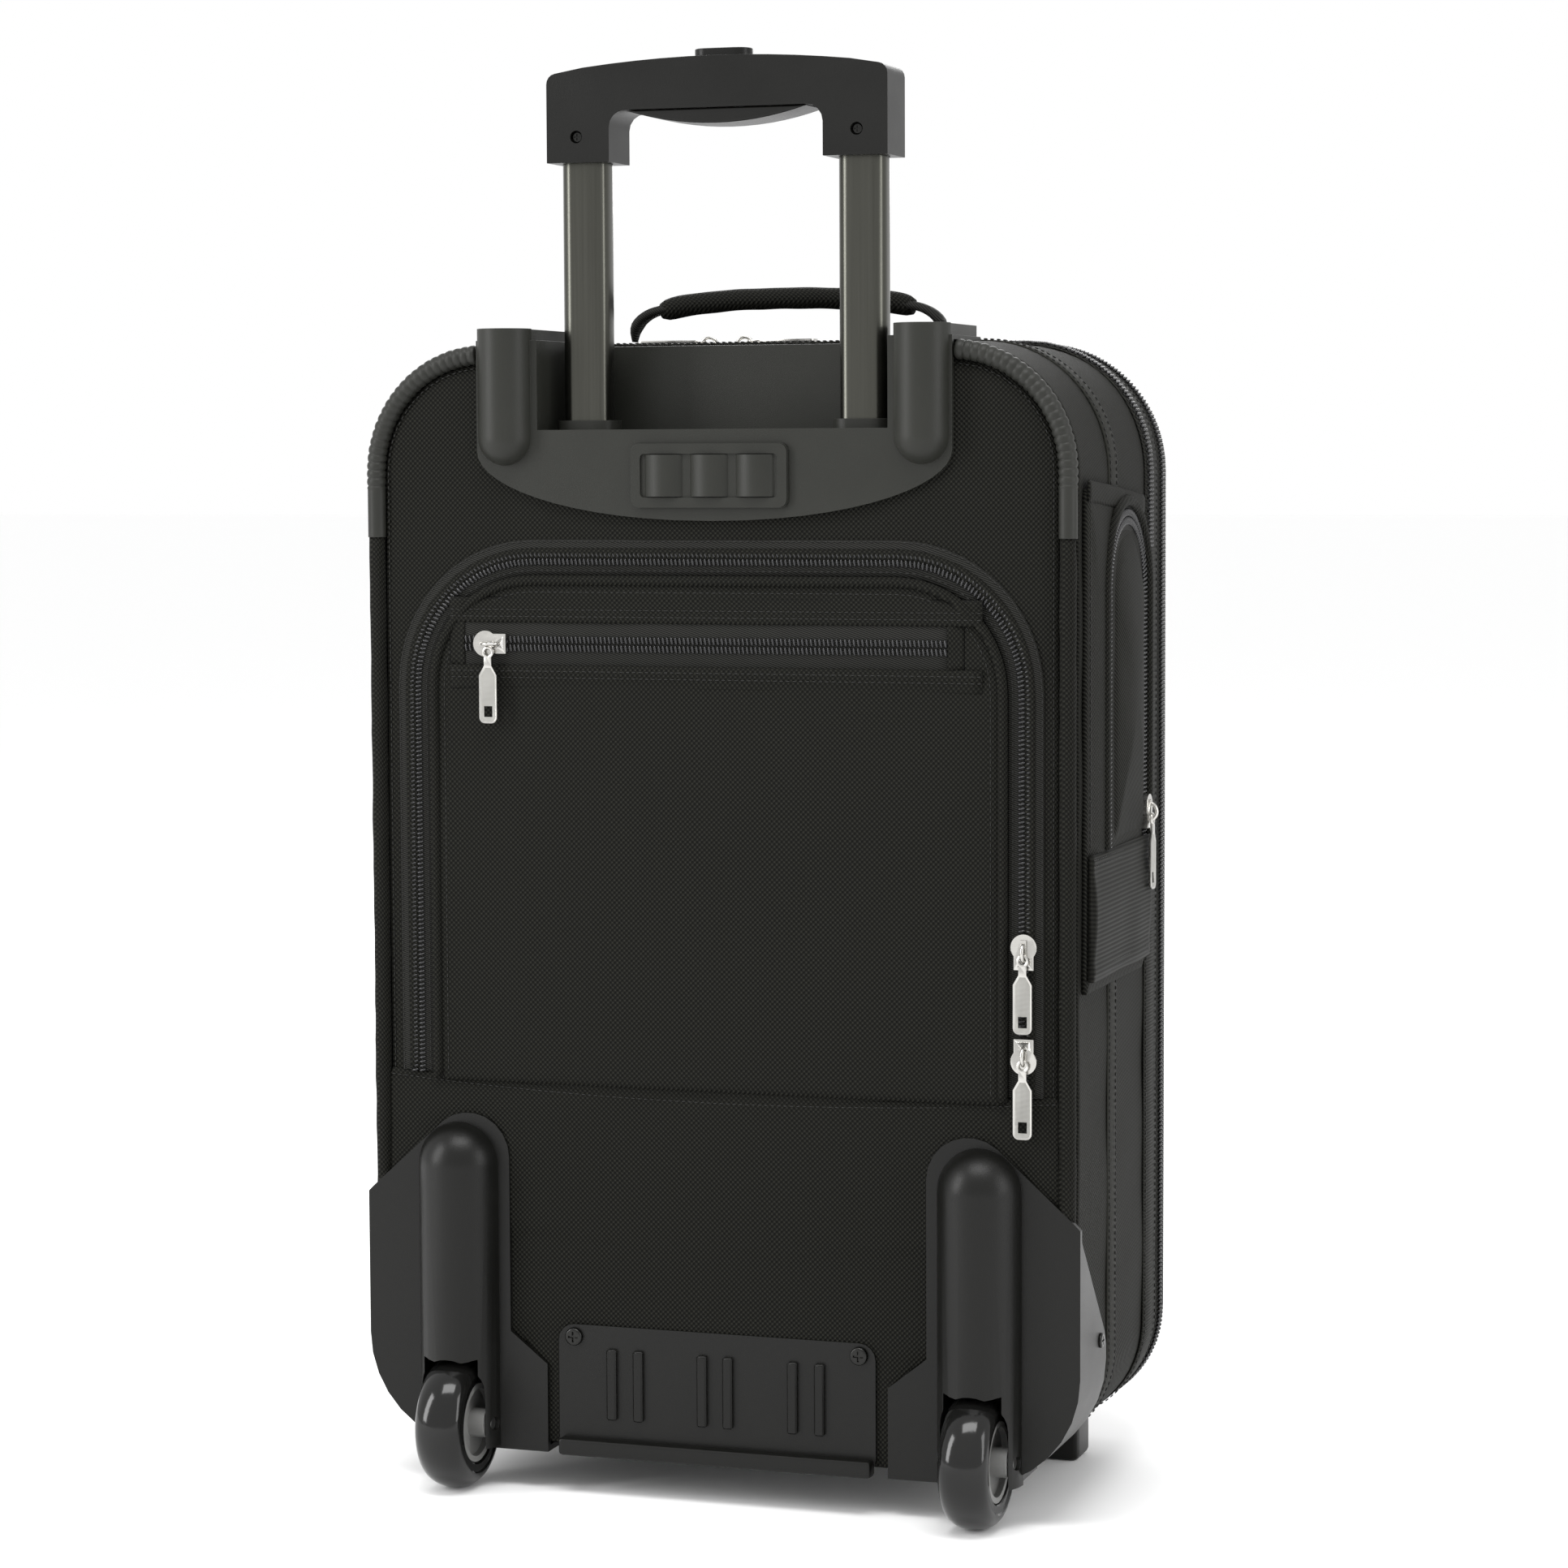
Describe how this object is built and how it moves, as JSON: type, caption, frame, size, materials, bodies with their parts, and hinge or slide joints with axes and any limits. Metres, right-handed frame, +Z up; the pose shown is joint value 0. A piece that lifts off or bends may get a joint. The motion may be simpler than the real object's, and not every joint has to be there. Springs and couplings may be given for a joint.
{
  "type": "softside upright suitcase",
  "caption": "Upright softside cabin suitcase with a telescopic trolley, inline wheels, a side-opening lid, zipped pockets and a padded top handle.",
  "frame": {"origin": "centre of the upright case's footprint on the floor, the middle of its box at z = 0", "axes": "+Z up the height, +Y from the back with the trolley and wheels to the lid, +X to the side pocket"},
  "size_m": [0.3657, 0.2392, 0.69],
  "materials": {
    "fabric_back": "ballistic nylon, basket weave, matt",
    "fabric_side": "ribbed nylon twill, matt",
    "grey_plastic": "fine moulded texture",
    "grey_rubber": "satin",
    "black_plastic": "fine moulded texture, soft sheen",
    "zip_coil": "nylon coil on woven tape",
    "wheel_tread": "glossy polyurethane",
    "wheel_core": "smooth moulded",
    "tube_anodised": "black anodised, satin",
    "steel": "plain",
    "screw_black": "black oxide",
    "nickel": "satin nickel plate"
  },
  "bodies": {
    "case": {"back_panel": "fabric_back", "piping_left": "fabric_back", "piping_right": "fabric_back", "back_pocket_flap": "fabric_back", "gusset": "fabric_side", "side_pocket": "fabric_side", "side_band": "fabric_side", "top_housing": "grey_plastic", "well_back_wall": "grey_plastic", "badge_panel": "grey_plastic", "corner_guard_left": "grey_rubber", "corner_guard_right": "grey_rubber", "guide_bracket": "black_plastic", "wheel_housing_left": "black_plastic", "wheel_housing_right": "black_plastic", "kick_plate": "black_plastic", "foot_left": "black_plastic", "foot_right": "black_plastic", "back_pocket_zip": "zip_coil", "flap_zip": "zip_coil", "side_pocket_zip": "zip_coil", "main_zip": "zip_coil", "guide_tube_left": "steel", "guide_tube_right": "steel", "axle_left": "steel", "axle_right": "steel", "kick_screw_left": "screw_black", "kick_screw_right": "screw_black"},
    "trolley": {"trolley_tube_left": "tube_anodised", "trolley_tube_right": "tube_anodised", "tube_plug_left": "black_plastic", "tube_plug_right": "black_plastic", "grip_body": "black_plastic", "grip_belly": "black_plastic", "button_spring": "steel"},
    "button": {"push_button": "black_plastic", "latch_yoke": "steel"},
    "latch_left": {"latch_pin_left": "steel"},
    "latch_right": {"latch_pin_right": "steel"},
    "wheel_left": {"tyre_left": "wheel_tread", "wheel_hub_left": "wheel_core"},
    "wheel_right": {"tyre_right": "wheel_tread", "wheel_hub_right": "wheel_core"},
    "lid": {"lid_shell": "fabric_side", "lid_pocket": "fabric_back"},
    "carry_handle": {"carry_handle": "fabric_back"},
    "flap_slider": {"flap_slider": "nickel"},
    "flap_pull": {"flap_pull": "nickel"},
    "back_pocket_upper_slider": {"back_pocket_upper_slider": "nickel"},
    "back_pocket_upper_pull": {"back_pocket_upper_pull": "nickel"},
    "back_pocket_lower_slider": {"back_pocket_lower_slider": "nickel"},
    "back_pocket_lower_pull": {"back_pocket_lower_pull": "nickel"},
    "side_pocket_slider": {"side_pocket_slider": "nickel"},
    "side_pocket_pull": {"side_pocket_pull": "nickel"},
    "main_left_slider": {"main_left_slider": "nickel"},
    "main_left_pull": {"main_left_pull": "nickel"},
    "main_right_slider": {"main_right_slider": "nickel"},
    "main_right_pull": {"main_right_pull": "nickel"},
    "lid_pocket_slider": {"lid_pocket_slider": "nickel"},
    "lid_pocket_pull": {"lid_pocket_pull": "nickel"}
  },
  "joints": [
    {"name": "trolley_slide", "type": "slide", "parent": "case", "child": "trolley", "axis": [0, 0, 1], "range_m": [-0.12, 0.255]},
    {"name": "button_press", "type": "slide", "parent": "trolley", "child": "button", "axis": [0, 0, -1], "range_m": [0, 0.005], "stiffness_N_per_m": 700, "springref_m": -0.004, "deforming": ["button_spring"]},
    {"name": "latch_left_retract", "type": "slide", "parent": "trolley", "child": "latch_left", "axis": [1, 0, 0], "range_m": [0, 0.002]},
    {"name": "latch_right_retract", "type": "slide", "parent": "trolley", "child": "latch_right", "axis": [-1, 0, 0], "range_m": [0, 0.002]},
    {"name": "wheel_left_spin", "type": "hinge", "parent": "case", "child": "wheel_left", "pos_m": [-0.131, -0.0876, 0.032], "axis": [1, 0, 0], "continuous": true},
    {"name": "wheel_right_spin", "type": "hinge", "parent": "case", "child": "wheel_right", "pos_m": [0.131, -0.0876, 0.032], "axis": [1, 0, 0], "continuous": true},
    {"name": "lid_hinge", "type": "hinge", "parent": "case", "child": "lid", "pos_m": [-0.1775, 0.08505, 0.287], "axis": [0, 0, 1], "range_deg": [0, 180]},
    {"name": "carry_handle_tilt", "type": "hinge", "parent": "case", "child": "carry_handle", "pos_m": [0, 0.0324, 0.5563], "axis": [1, 0, 0], "range_deg": [-75, 75]},
    {"name": "flap_slide", "type": "slide", "parent": "case", "child": "flap_slider", "axis": [1, 0, 0], "range_m": [0, 0.215]},
    {"name": "flap_pull_swing", "type": "hinge", "parent": "flap_slider", "child": "flap_pull", "pos_m": [-0.111, -0.0885, 0.4065], "axis": [-1, 0, 0], "range_deg": [0, 150]},
    {"name": "back_pocket_upper_slide", "type": "slide", "parent": "case", "child": "back_pocket_upper_slider", "axis": [0, 0, 1], "range_m": [0, 0.126]},
    {"name": "back_pocket_upper_pull_swing", "type": "hinge", "parent": "back_pocket_upper_slider", "child": "back_pocket_upper_pull", "pos_m": [0.1525, -0.0864, 0.267], "axis": [-1, 0, 0], "range_deg": [0, 150]},
    {"name": "back_pocket_lower_slide", "type": "slide", "parent": "case", "child": "back_pocket_lower_slider", "axis": [0, 0, 1], "range_m": [-0.009, 0]},
    {"name": "back_pocket_lower_pull_swing", "type": "hinge", "parent": "back_pocket_lower_slider", "child": "back_pocket_lower_pull", "pos_m": [0.1525, -0.0864, 0.218], "axis": [-1, 0, 0], "range_deg": [0, 150]},
    {"name": "side_pocket_slide", "type": "slide", "parent": "case", "child": "side_pocket_slider", "axis": [0, 0, 1], "range_m": [0, 0.1]},
    {"name": "side_pocket_pull_swing", "type": "hinge", "parent": "side_pocket_slider", "child": "side_pocket_pull", "pos_m": [0.1846, 0.0354, 0.323], "axis": [0, -1, 0], "range_deg": [0, 150]},
    {"name": "main_left_slide", "type": "slide", "parent": "case", "child": "main_left_slider", "axis": [1, 0, 0], "range_m": [-0.045, 0]},
    {"name": "main_left_pull_swing", "type": "hinge", "parent": "main_left_slider", "child": "main_left_pull", "pos_m": [-0.064, 0.08505, 0.5575], "axis": [0, 1, 0], "range_deg": [0, 150]},
    {"name": "main_right_slide", "type": "slide", "parent": "case", "child": "main_right_slider", "axis": [1, 0, 0], "range_m": [0, 0.13]},
    {"name": "main_right_pull_swing", "type": "hinge", "parent": "main_right_slider", "child": "main_right_pull", "pos_m": [-0.036, 0.08505, 0.5575], "axis": [0, -1, 0], "range_deg": [0, 150]},
    {"name": "lid_pocket_slide", "type": "slide", "parent": "lid", "child": "lid_pocket_slider", "axis": [1, 0, 0], "range_m": [0, 0.2]},
    {"name": "lid_pocket_pull_swing", "type": "hinge", "parent": "lid_pocket_slider", "child": "lid_pocket_pull", "pos_m": [-0.1, 0.1177, 0.396], "axis": [1, 0, 0], "range_deg": [0, 150]}
  ],
  "couplings": [
    {"joint": "latch_left_retract", "follows": "button_press", "ratio": 0.4},
    {"joint": "latch_right_retract", "follows": "button_press", "ratio": 0.4}
  ]
}
